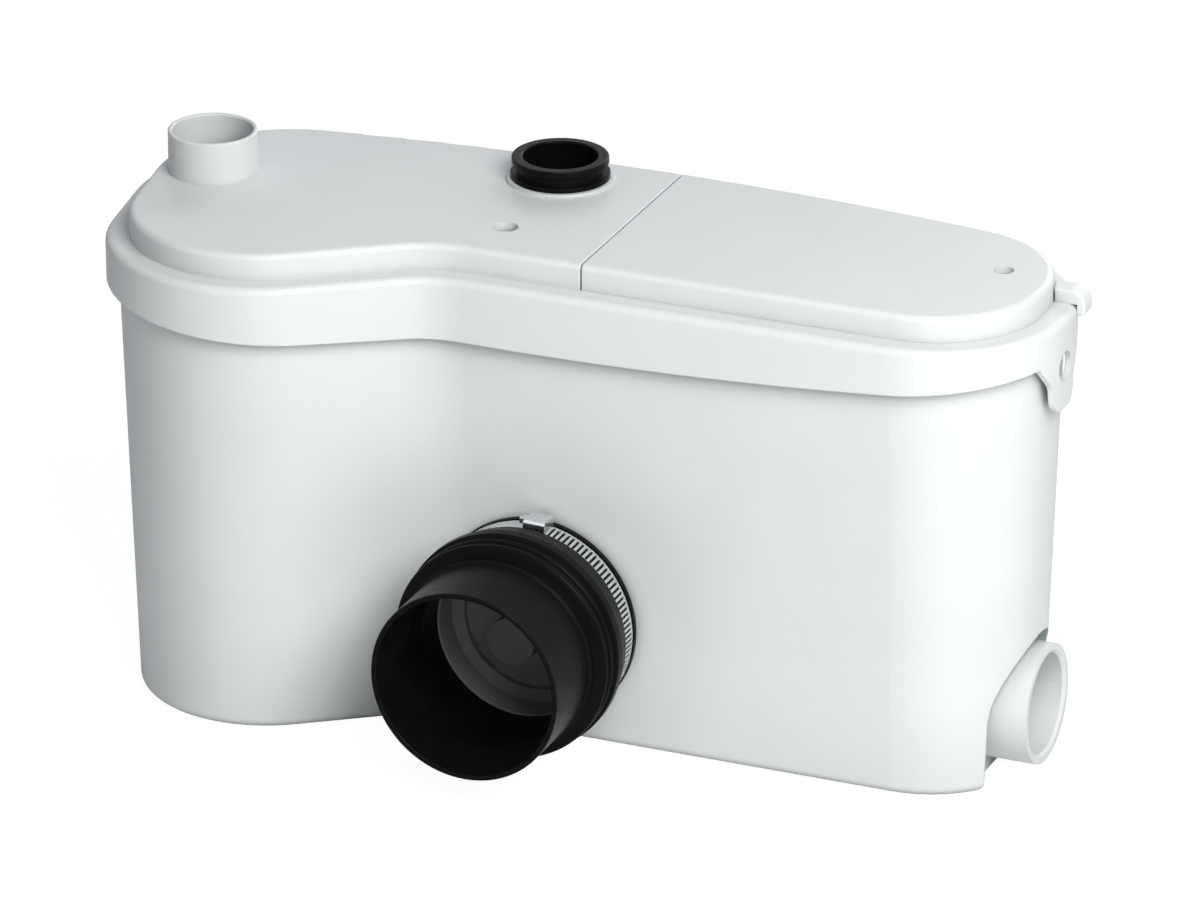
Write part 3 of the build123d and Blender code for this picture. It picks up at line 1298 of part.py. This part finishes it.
# One file for each piece
pieces = {
    "tank": tank,
    "lid": lid,
    "lid_seal": lid_seal,
    "lid_screw": lid_screw,
    "service_hatch": service_hatch,
    "hatch_seal": hatch_seal,
    "hatch_screw": hatch_screw,
    "cable_hood": cable_hood,
    "outlet_ring": outlet_ring,
    "toilet_sleeve": toilet_sleeve,
    "clamp_band": clamp_band,
    "clamp_housing": clamp_housing,
    "clamp_screw": clamp_screw,
    "inlet_seat": inlet_seat,
    "inlet_flap": inlet_flap,
    "inlet_flap_pin": inlet_flap_pin,
    "side_flap": side_flap,
    "side_flap_pin": side_flap_pin,
    "motor_plate": motor_plate,
    "plate_screws": plate_screws,
    "motor_housing": motor_housing,
    "motor_cap": motor_cap,
    "stator_core": stator_core,
    "stator_winding": stator_winding,
    "rotor": rotor,
    "motor_shaft": motor_shaft,
    "upper_bearing": upper_bearing,
    "lower_bearing": lower_bearing,
    "shaft_seal": shaft_seal,
    "pump_volute": pump_volute,
    "impeller": impeller,
    "cutter_plate": cutter_plate,
    "macerator_basket": macerator_basket,
    "cutter_blade": cutter_blade,
    "pump_feet": pump_feet,
    "discharge_elbow": discharge_elbow,
    "valve_body": valve_body,
    "valve_flap": valve_flap,
    "valve_flap_pin": valve_flap_pin,
    "valve_cap": valve_cap,
    "discharge_pipe": discharge_pipe,
    "dip_tube": dip_tube,
    "membrane": membrane,
    "membrane_cover": membrane_cover,
    "switch_plunger": switch_plunger,
    "microswitch": microswitch,
    "capacitor": capacitor,
    "capacitor_clip": capacitor_clip,
    "terminal_block": terminal_block,
}
os.makedirs("parts", exist_ok=True)
for label, piece in pieces.items():
    piece.part.label = label
    export_step(piece.part, f"parts/{label}.step")
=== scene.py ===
import json
import math

import bpy
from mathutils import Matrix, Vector


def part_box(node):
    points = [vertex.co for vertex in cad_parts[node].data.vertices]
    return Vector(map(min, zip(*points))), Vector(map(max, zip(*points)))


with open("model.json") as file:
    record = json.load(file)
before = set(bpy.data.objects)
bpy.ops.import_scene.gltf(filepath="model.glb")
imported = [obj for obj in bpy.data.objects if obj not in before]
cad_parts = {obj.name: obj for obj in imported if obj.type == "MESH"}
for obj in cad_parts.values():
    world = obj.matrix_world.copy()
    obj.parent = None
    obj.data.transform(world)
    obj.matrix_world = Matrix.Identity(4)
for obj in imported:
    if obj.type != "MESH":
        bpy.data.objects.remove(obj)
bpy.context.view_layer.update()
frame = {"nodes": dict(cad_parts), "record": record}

# Camera: a long lens, seen from the front right and above
view_azimuth = math.radians(22.7)
view_elevation = math.radians(23.2)
view_distance = 4.7368
view_end = 4 * view_distance
view_target = Vector((0, 0, 0.133))
view_lens = 270
sensor_width = 36

# Lamps: where each stands as seen from the object, in degrees and metres, its side and its watts
white_light = (1.0, 0.99, 0.97)
cool_light = (0.94, 0.97, 1.0)
lamp_target = Vector((0, 0, 0.12))
lamps = {
    "key": {
        "azimuth": 45, "elevation": 39, "distance": 1.9,
        "size": 1.1, "power": 33.2, "colour": white_light,
    },
    "back": {
        "azimuth": 174, "elevation": 20, "distance": 2.4,
        "size": 1.4, "power": 16, "colour": cool_light,
    },
}

# Surroundings: a dim world that looks white, and a pale floor with a glow that only the camera sees
world_colour = (0.95, 0.97, 1.0, 1)
world_strength = 0.18
world_seen_strength = 1.0
floor_size = 12
floor_gap = 0.0004
floor_colour = (0.88, 0.885, 0.89, 1)
floor_roughness = 0.9
floor_glow = 1.12
floor_glow_share = 0.85

# Shaders: samples of the bevel and occlusion nodes, and the noise values between which things change.
# Scales below are about the number of patches in a metre; reaches, depths and radii are in metres.
node_samples = 4
noise_span = (0.3, 0.7)

# Plastic; its colour gets painted shade in creases, gaps and wide hollows, and the two spans of that
# painted shade are values of occlusion, with 0 for a closed corner and 1 for open air
cloud_scale = 14
gloss_scale = 160
sink_scale = 22
sink_depth = 0.0004
plastic_grain_scale = 950
plastic_edge_radius = 0.0009
coat_roughness = 0.12
crease_reach = 0.009
crease_painted_shade = 0.3
crease_span = (0.05, 0.42)
hollow_reach = 0.06
hollow_span = (0.35, 0.97)

# Rubber
dust_scale = 45
sheen_scale = 300
mould_ring_scale = 260
mould_ring_stretch = (1, 8, 1)
mould_ring_depth = 0.00006
rubber_grain_scale = 1800
rubber_grain_depth = 0.00005
rubber_edge_radius = 0.0005
rubber_specular = 0.06

# Painted shade on the middle of the flap, which tones down the light its standing boss catches; as wide
# as the boss, it fades out at a share of the boss's radius
boss_radius = 0.0132
boss_fade_share = 1.1
boss_painted_shade = 0.5

# Metal
stain_scale = 130
metal_edge_radius = 0.0003


def direction(azimuth, elevation):
    """Unit vector from the object towards azimuth and elevation, azimuth 0 being the front."""
    return Vector((
        math.sin(azimuth) * math.cos(elevation),
        -math.cos(azimuth) * math.cos(elevation),
        math.sin(elevation),
    ))


def place_facing(thing, target, away, distance):
    """Puts the thing at a distance from the target, looking at it."""
    bpy.context.scene.collection.objects.link(thing)
    thing.location = target + away * distance
    thing.rotation_mode = "QUATERNION"
    thing.rotation_quaternion = (-away).to_track_quat("-Z", "Y")


def add_camera():
    camera = bpy.data.objects.new("camera", bpy.data.cameras.new("camera"))
    camera.data.lens = view_lens
    camera.data.sensor_width = sensor_width
    camera.data.clip_end = view_end
    place_facing(camera, view_target, direction(view_azimuth, view_elevation), view_distance)
    bpy.context.scene.camera = camera


def add_lamp(name, azimuth, elevation, distance, size, power, colour):
    lamp = bpy.data.objects.new(name, bpy.data.lights.new(name, "AREA"))
    lamp.data.shape = "SQUARE"
    lamp.data.size = size
    lamp.data.energy = power
    lamp.data.color = colour
    away = direction(math.radians(azimuth), math.radians(elevation))
    place_facing(lamp, lamp_target, away, distance)


def new_material(name):
    """A material, its node tree and the principled shader in it."""
    material = bpy.data.materials.new(name)
    material.use_nodes = True
    tree = material.node_tree
    return material, tree, tree.nodes["Principled BSDF"]


def calculate(tree, operation, first, second):
    """The result of one operation on two values, each a number or a node's output."""
    node = tree.nodes.new("ShaderNodeMath")
    node.operation = operation
    for place, value in enumerate((first, second)):
        if isinstance(value, float):
            node.inputs[place].default_value = value
        else:
            tree.links.new(value, node.inputs[place])
    return node.outputs[0]


def set_world():
    """A dim world that the camera and mirrored rays see as white."""
    world = bpy.data.worlds.new("studio")
    bpy.context.scene.world = world
    world.use_nodes = True
    tree = world.node_tree
    path = tree.nodes.new("ShaderNodeLightPath")
    seen = calculate(tree, "MAXIMUM", path.outputs["Is Camera Ray"], path.outputs["Is Glossy Ray"])
    strength = range_between(tree, seen, world_strength, world_seen_strength, (0, 1))
    background = tree.nodes["Background"]
    background.inputs["Color"].default_value = world_colour
    tree.links.new(strength, background.inputs["Strength"])


def add_floor():
    """A pale floor that the camera sees nearly white, with a faint shadow of the object."""
    bpy.ops.mesh.primitive_plane_add(size=floor_size, location=(0, 0, -floor_gap))
    floor = bpy.context.object
    floor.name = "floor"
    material, tree, shader = new_material("floor_white")
    shader.inputs["Base Color"].default_value = floor_colour
    shader.inputs["Roughness"].default_value = floor_roughness
    glow = tree.nodes.new("ShaderNodeEmission")
    glow.inputs["Strength"].default_value = floor_glow
    path = tree.nodes.new("ShaderNodeLightPath")
    share = calculate(tree, "MULTIPLY", path.outputs["Is Camera Ray"], floor_glow_share)
    blend = tree.nodes.new("ShaderNodeMixShader")
    tree.links.new(share, blend.inputs[0])
    tree.links.new(shader.outputs[0], blend.inputs[1])
    tree.links.new(glow.outputs[0], blend.inputs[2])
    tree.links.new(blend.outputs[0], tree.nodes["Material Output"].inputs["Surface"])
    floor.data.materials.append(material)


def object_place(tree, location=(0, 0, 0), stretch=(1, 1, 1)):
    """The object's own coordinates, stretched along each axis and then moved."""
    place = tree.nodes.new("ShaderNodeTexCoord")
    mapping = tree.nodes.new("ShaderNodeMapping")
    mapping.inputs["Location"].default_value = location
    mapping.inputs["Scale"].default_value = stretch
    tree.links.new(place.outputs["Object"], mapping.inputs["Vector"])
    return mapping.outputs["Vector"]


def surface_noise(tree, scale, detail, stretch=(1, 1, 1)):
    """Noise over the object's own coordinates, with a stretch along each axis."""
    noise = tree.nodes.new("ShaderNodeTexNoise")
    noise.inputs["Scale"].default_value = scale
    noise.inputs["Detail"].default_value = detail
    tree.links.new(object_place(tree, stretch=stretch), noise.inputs["Vector"])
    return noise.outputs["Fac"]


def colour_between(tree, value, first, second):
    """A colour that goes from first to second as the value crosses the noise span."""
    ramp = tree.nodes.new("ShaderNodeValToRGB")
    for stop, place, colour in zip(ramp.color_ramp.elements, noise_span, (first, second)):
        stop.position = place
        stop.color = (*colour, 1)
    tree.links.new(value, ramp.inputs[0])
    return ramp.outputs[0]


def range_between(tree, value, low, high, span=noise_span):
    """A number that goes from low to high as the value crosses the span."""
    spread = tree.nodes.new("ShaderNodeMapRange")
    spread.inputs["From Min"].default_value = span[0]
    spread.inputs["From Max"].default_value = span[1]
    spread.inputs["To Min"].default_value = low
    spread.inputs["To Max"].default_value = high
    tree.links.new(value, spread.inputs["Value"])
    return spread.outputs[0]


def add_bump(tree, heights, distance, normal):
    """A normal that the height disturbs, on top of another normal."""
    bump = tree.nodes.new("ShaderNodeBump")
    bump.inputs["Distance"].default_value = distance
    tree.links.new(heights, bump.inputs["Height"])
    tree.links.new(normal, bump.inputs["Normal"])
    return bump.outputs["Normal"]


def soft_edges(tree, radius):
    """A normal that rounds sharp edges by this radius."""
    bevel = tree.nodes.new("ShaderNodeBevel")
    bevel.samples = node_samples
    bevel.inputs["Radius"].default_value = radius
    return bevel.outputs["Normal"]


def darken(tree, colour, shade):
    """The colour times a painted shade from 0 to 1."""
    mix = tree.nodes.new("ShaderNodeMix")
    mix.data_type = "RGBA"
    mix.blend_type = "MULTIPLY"
    factor, first, second = mix.inputs[0], mix.inputs[6], mix.inputs[7]
    factor.default_value = 1.0
    tree.links.new(colour, first)
    tree.links.new(shade, second)
    return mix.outputs[2]


def paint_crease_shade(tree, colour, reach, depth, span):
    """The colour, with painted shade from occlusion in creases and gaps within reach."""
    nook = tree.nodes.new("ShaderNodeAmbientOcclusion")
    nook.samples = node_samples
    nook.inputs["Distance"].default_value = reach
    return darken(tree, colour, range_between(tree, nook.outputs["AO"], depth, 1.0, span))


def paint_boss_shade(tree, colour, middle_x, middle_z):
    """The colour, with painted shade within the boss's radius of a line along Y."""
    place = object_place(tree, location=(-middle_x, 0, -middle_z), stretch=(1, 0, 1))
    away = tree.nodes.new("ShaderNodeVectorMath")
    away.operation = "LENGTH"
    tree.links.new(place, away.inputs[0])
    fade = (boss_radius, boss_fade_share * boss_radius)
    return darken(tree, colour, range_between(tree, away.outputs["Value"], boss_painted_shade, 1.0, fade))


def moulded_plastic(name, first, second, rough, coat=0.0, specular=0.5, grain=0.00002, hollow_painted_shade=1.0):
    """Injection-moulded plastic: faint clouding, gentle sinks, a fine grain, soft edges and painted
    shade in creases and gaps.

    The hollow value is the darkest painted shade in wide hollows, as a factor on the colour, and 1
    leaves it out.
    """
    material, tree, shader = new_material(name)
    colour = colour_between(tree, surface_noise(tree, cloud_scale, detail=5), first, second)
    # Painted shade: occlusion darkens the colour in wide hollows and in creases and gaps.
    if hollow_painted_shade < 1:
        colour = paint_crease_shade(tree, colour, hollow_reach, hollow_painted_shade, hollow_span)
    colour = paint_crease_shade(tree, colour, crease_reach, crease_painted_shade, crease_span)
    tree.links.new(colour, shader.inputs["Base Color"])
    gloss = surface_noise(tree, gloss_scale, detail=4)
    tree.links.new(range_between(tree, gloss, *rough), shader.inputs["Roughness"])
    shader.inputs["Coat Weight"].default_value = coat
    shader.inputs["Coat Roughness"].default_value = coat_roughness
    shader.inputs["Specular IOR Level"].default_value = specular
    normal = soft_edges(tree, plastic_edge_radius)
    normal = add_bump(tree, surface_noise(tree, sink_scale, detail=1), sink_depth, normal)
    normal = add_bump(tree, surface_noise(tree, plastic_grain_scale, detail=2), grain, normal)
    tree.links.new(normal, shader.inputs["Normal"])
    return material


def moulded_rubber(name, first, second, rough, painted_boss_shade_at=None):
    """Rubber: dusty patches, a fine grain, faint mould rings along Y and, where given, painted shade on
    a boss.
    """
    material, tree, shader = new_material(name)
    colour = colour_between(tree, surface_noise(tree, dust_scale, detail=6), first, second)
    # Painted shade on the flap's boss, which damps the light the standing boss catches.
    if painted_boss_shade_at:
        colour = paint_boss_shade(tree, colour, *painted_boss_shade_at)
    tree.links.new(colour, shader.inputs["Base Color"])
    sheen = surface_noise(tree, sheen_scale, detail=3)
    tree.links.new(range_between(tree, sheen, *rough), shader.inputs["Roughness"])
    shader.inputs["Specular IOR Level"].default_value = rubber_specular
    rings = surface_noise(tree, mould_ring_scale, detail=2, stretch=mould_ring_stretch)
    normal = add_bump(tree, rings, mould_ring_depth, soft_edges(tree, rubber_edge_radius))
    grain = surface_noise(tree, rubber_grain_scale, detail=3)
    normal = add_bump(tree, grain, rubber_grain_depth, normal)
    tree.links.new(normal, shader.inputs["Normal"])
    return material


def worked_metal(name, first, second, rough, line_scale, stretch, depth):
    """Metal: rolled or turned lines, stained patches and rounded edges."""
    material, tree, shader = new_material(name)
    stains = surface_noise(tree, stain_scale, detail=5)
    lines = surface_noise(tree, line_scale, detail=3, stretch=stretch)
    tree.links.new(colour_between(tree, stains, first, second), shader.inputs["Base Color"])
    tree.links.new(range_between(tree, lines, *rough), shader.inputs["Roughness"])
    shader.inputs["Metallic"].default_value = 1.0
    normal = add_bump(tree, lines, depth, soft_edges(tree, metal_edge_radius))
    tree.links.new(normal, shader.inputs["Normal"])
    return material


def make_materials():
    """One material for each slot of the record, by the slot's name."""
    flap_low, flap_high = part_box("inlet_seat")
    flap_x = (flap_low[0] + flap_high[0]) / 2
    flap_z = (flap_low[2] + flap_high[2]) / 2
    return {
        "white_abs": moulded_plastic(
            "white_abs", first=(0.765, 0.797, 0.806), second=(0.80, 0.832, 0.84), rough=(0.33, 0.42),
            coat=0.05, specular=0.35, hollow_painted_shade=0.84),
        # The hollow value is the darkest painted shade in this plastic's wide hollows.
        "grey_plastic": moulded_plastic(
            "grey_plastic", first=(0.20, 0.207, 0.22), second=(0.24, 0.247, 0.26), rough=(0.42, 0.55),
            grain=0.00004),
        "black_plastic": moulded_plastic(
            "black_plastic", first=(0.012, 0.012, 0.013), second=(0.02, 0.02, 0.022), rough=(0.38, 0.5),
            grain=0.00004),
        "capacitor_shell": moulded_plastic(
            "capacitor_shell", first=(0.66, 0.66, 0.62), second=(0.72, 0.72, 0.68), rough=(0.3, 0.4)),
        "painted_can": moulded_plastic(
            "painted_can", first=(0.022, 0.024, 0.027), second=(0.034, 0.036, 0.04), rough=(0.3, 0.5),
            coat=0.2, grain=0.00006),
        "black_rubber": moulded_rubber(
            "black_rubber", first=(0.0035, 0.0035, 0.0037), second=(0.006, 0.006, 0.0063),
            rough=(0.28, 0.38)),
        "grey_rubber": moulded_rubber(
            "grey_rubber", first=(0.29, 0.29, 0.295), second=(0.34, 0.34, 0.345), rough=(0.5, 0.6),
            # Centre of the painted shade on the flap's boss.
            painted_boss_shade_at=(flap_x, flap_z)),
        "stainless": worked_metal(
            "stainless", first=(0.72, 0.73, 0.74), second=(0.86, 0.87, 0.88), rough=(0.16, 0.32),
            line_scale=900, stretch=(1, 0.06, 1), depth=0.00001),
        "lamination": worked_metal(
            "lamination", first=(0.28, 0.28, 0.29), second=(0.40, 0.40, 0.41), rough=(0.35, 0.55),
            line_scale=1400, stretch=(0.02, 0.02, 1), depth=0.00012),
        "copper": worked_metal(
            "copper", first=(0.52, 0.19, 0.08), second=(0.72, 0.30, 0.13), rough=(0.22, 0.42),
            line_scale=700, stretch=(0.15, 0.15, 1), depth=0.0003),
    }


def dress_nodes(materials):
    """Gives each CAD node the material of its record slot."""
    for part in frame["record"]["subparts"]:
        node = frame["nodes"][part["node"]]
        node.data.materials.clear()
        node.data.materials.append(materials[part["material_slot"]])


bpy.context.scene.view_settings.view_transform = "Standard"
add_camera()
for lamp_name, settings in lamps.items():
    add_lamp(lamp_name, **settings)
set_world()
add_floor()
dress_nodes(make_materials())
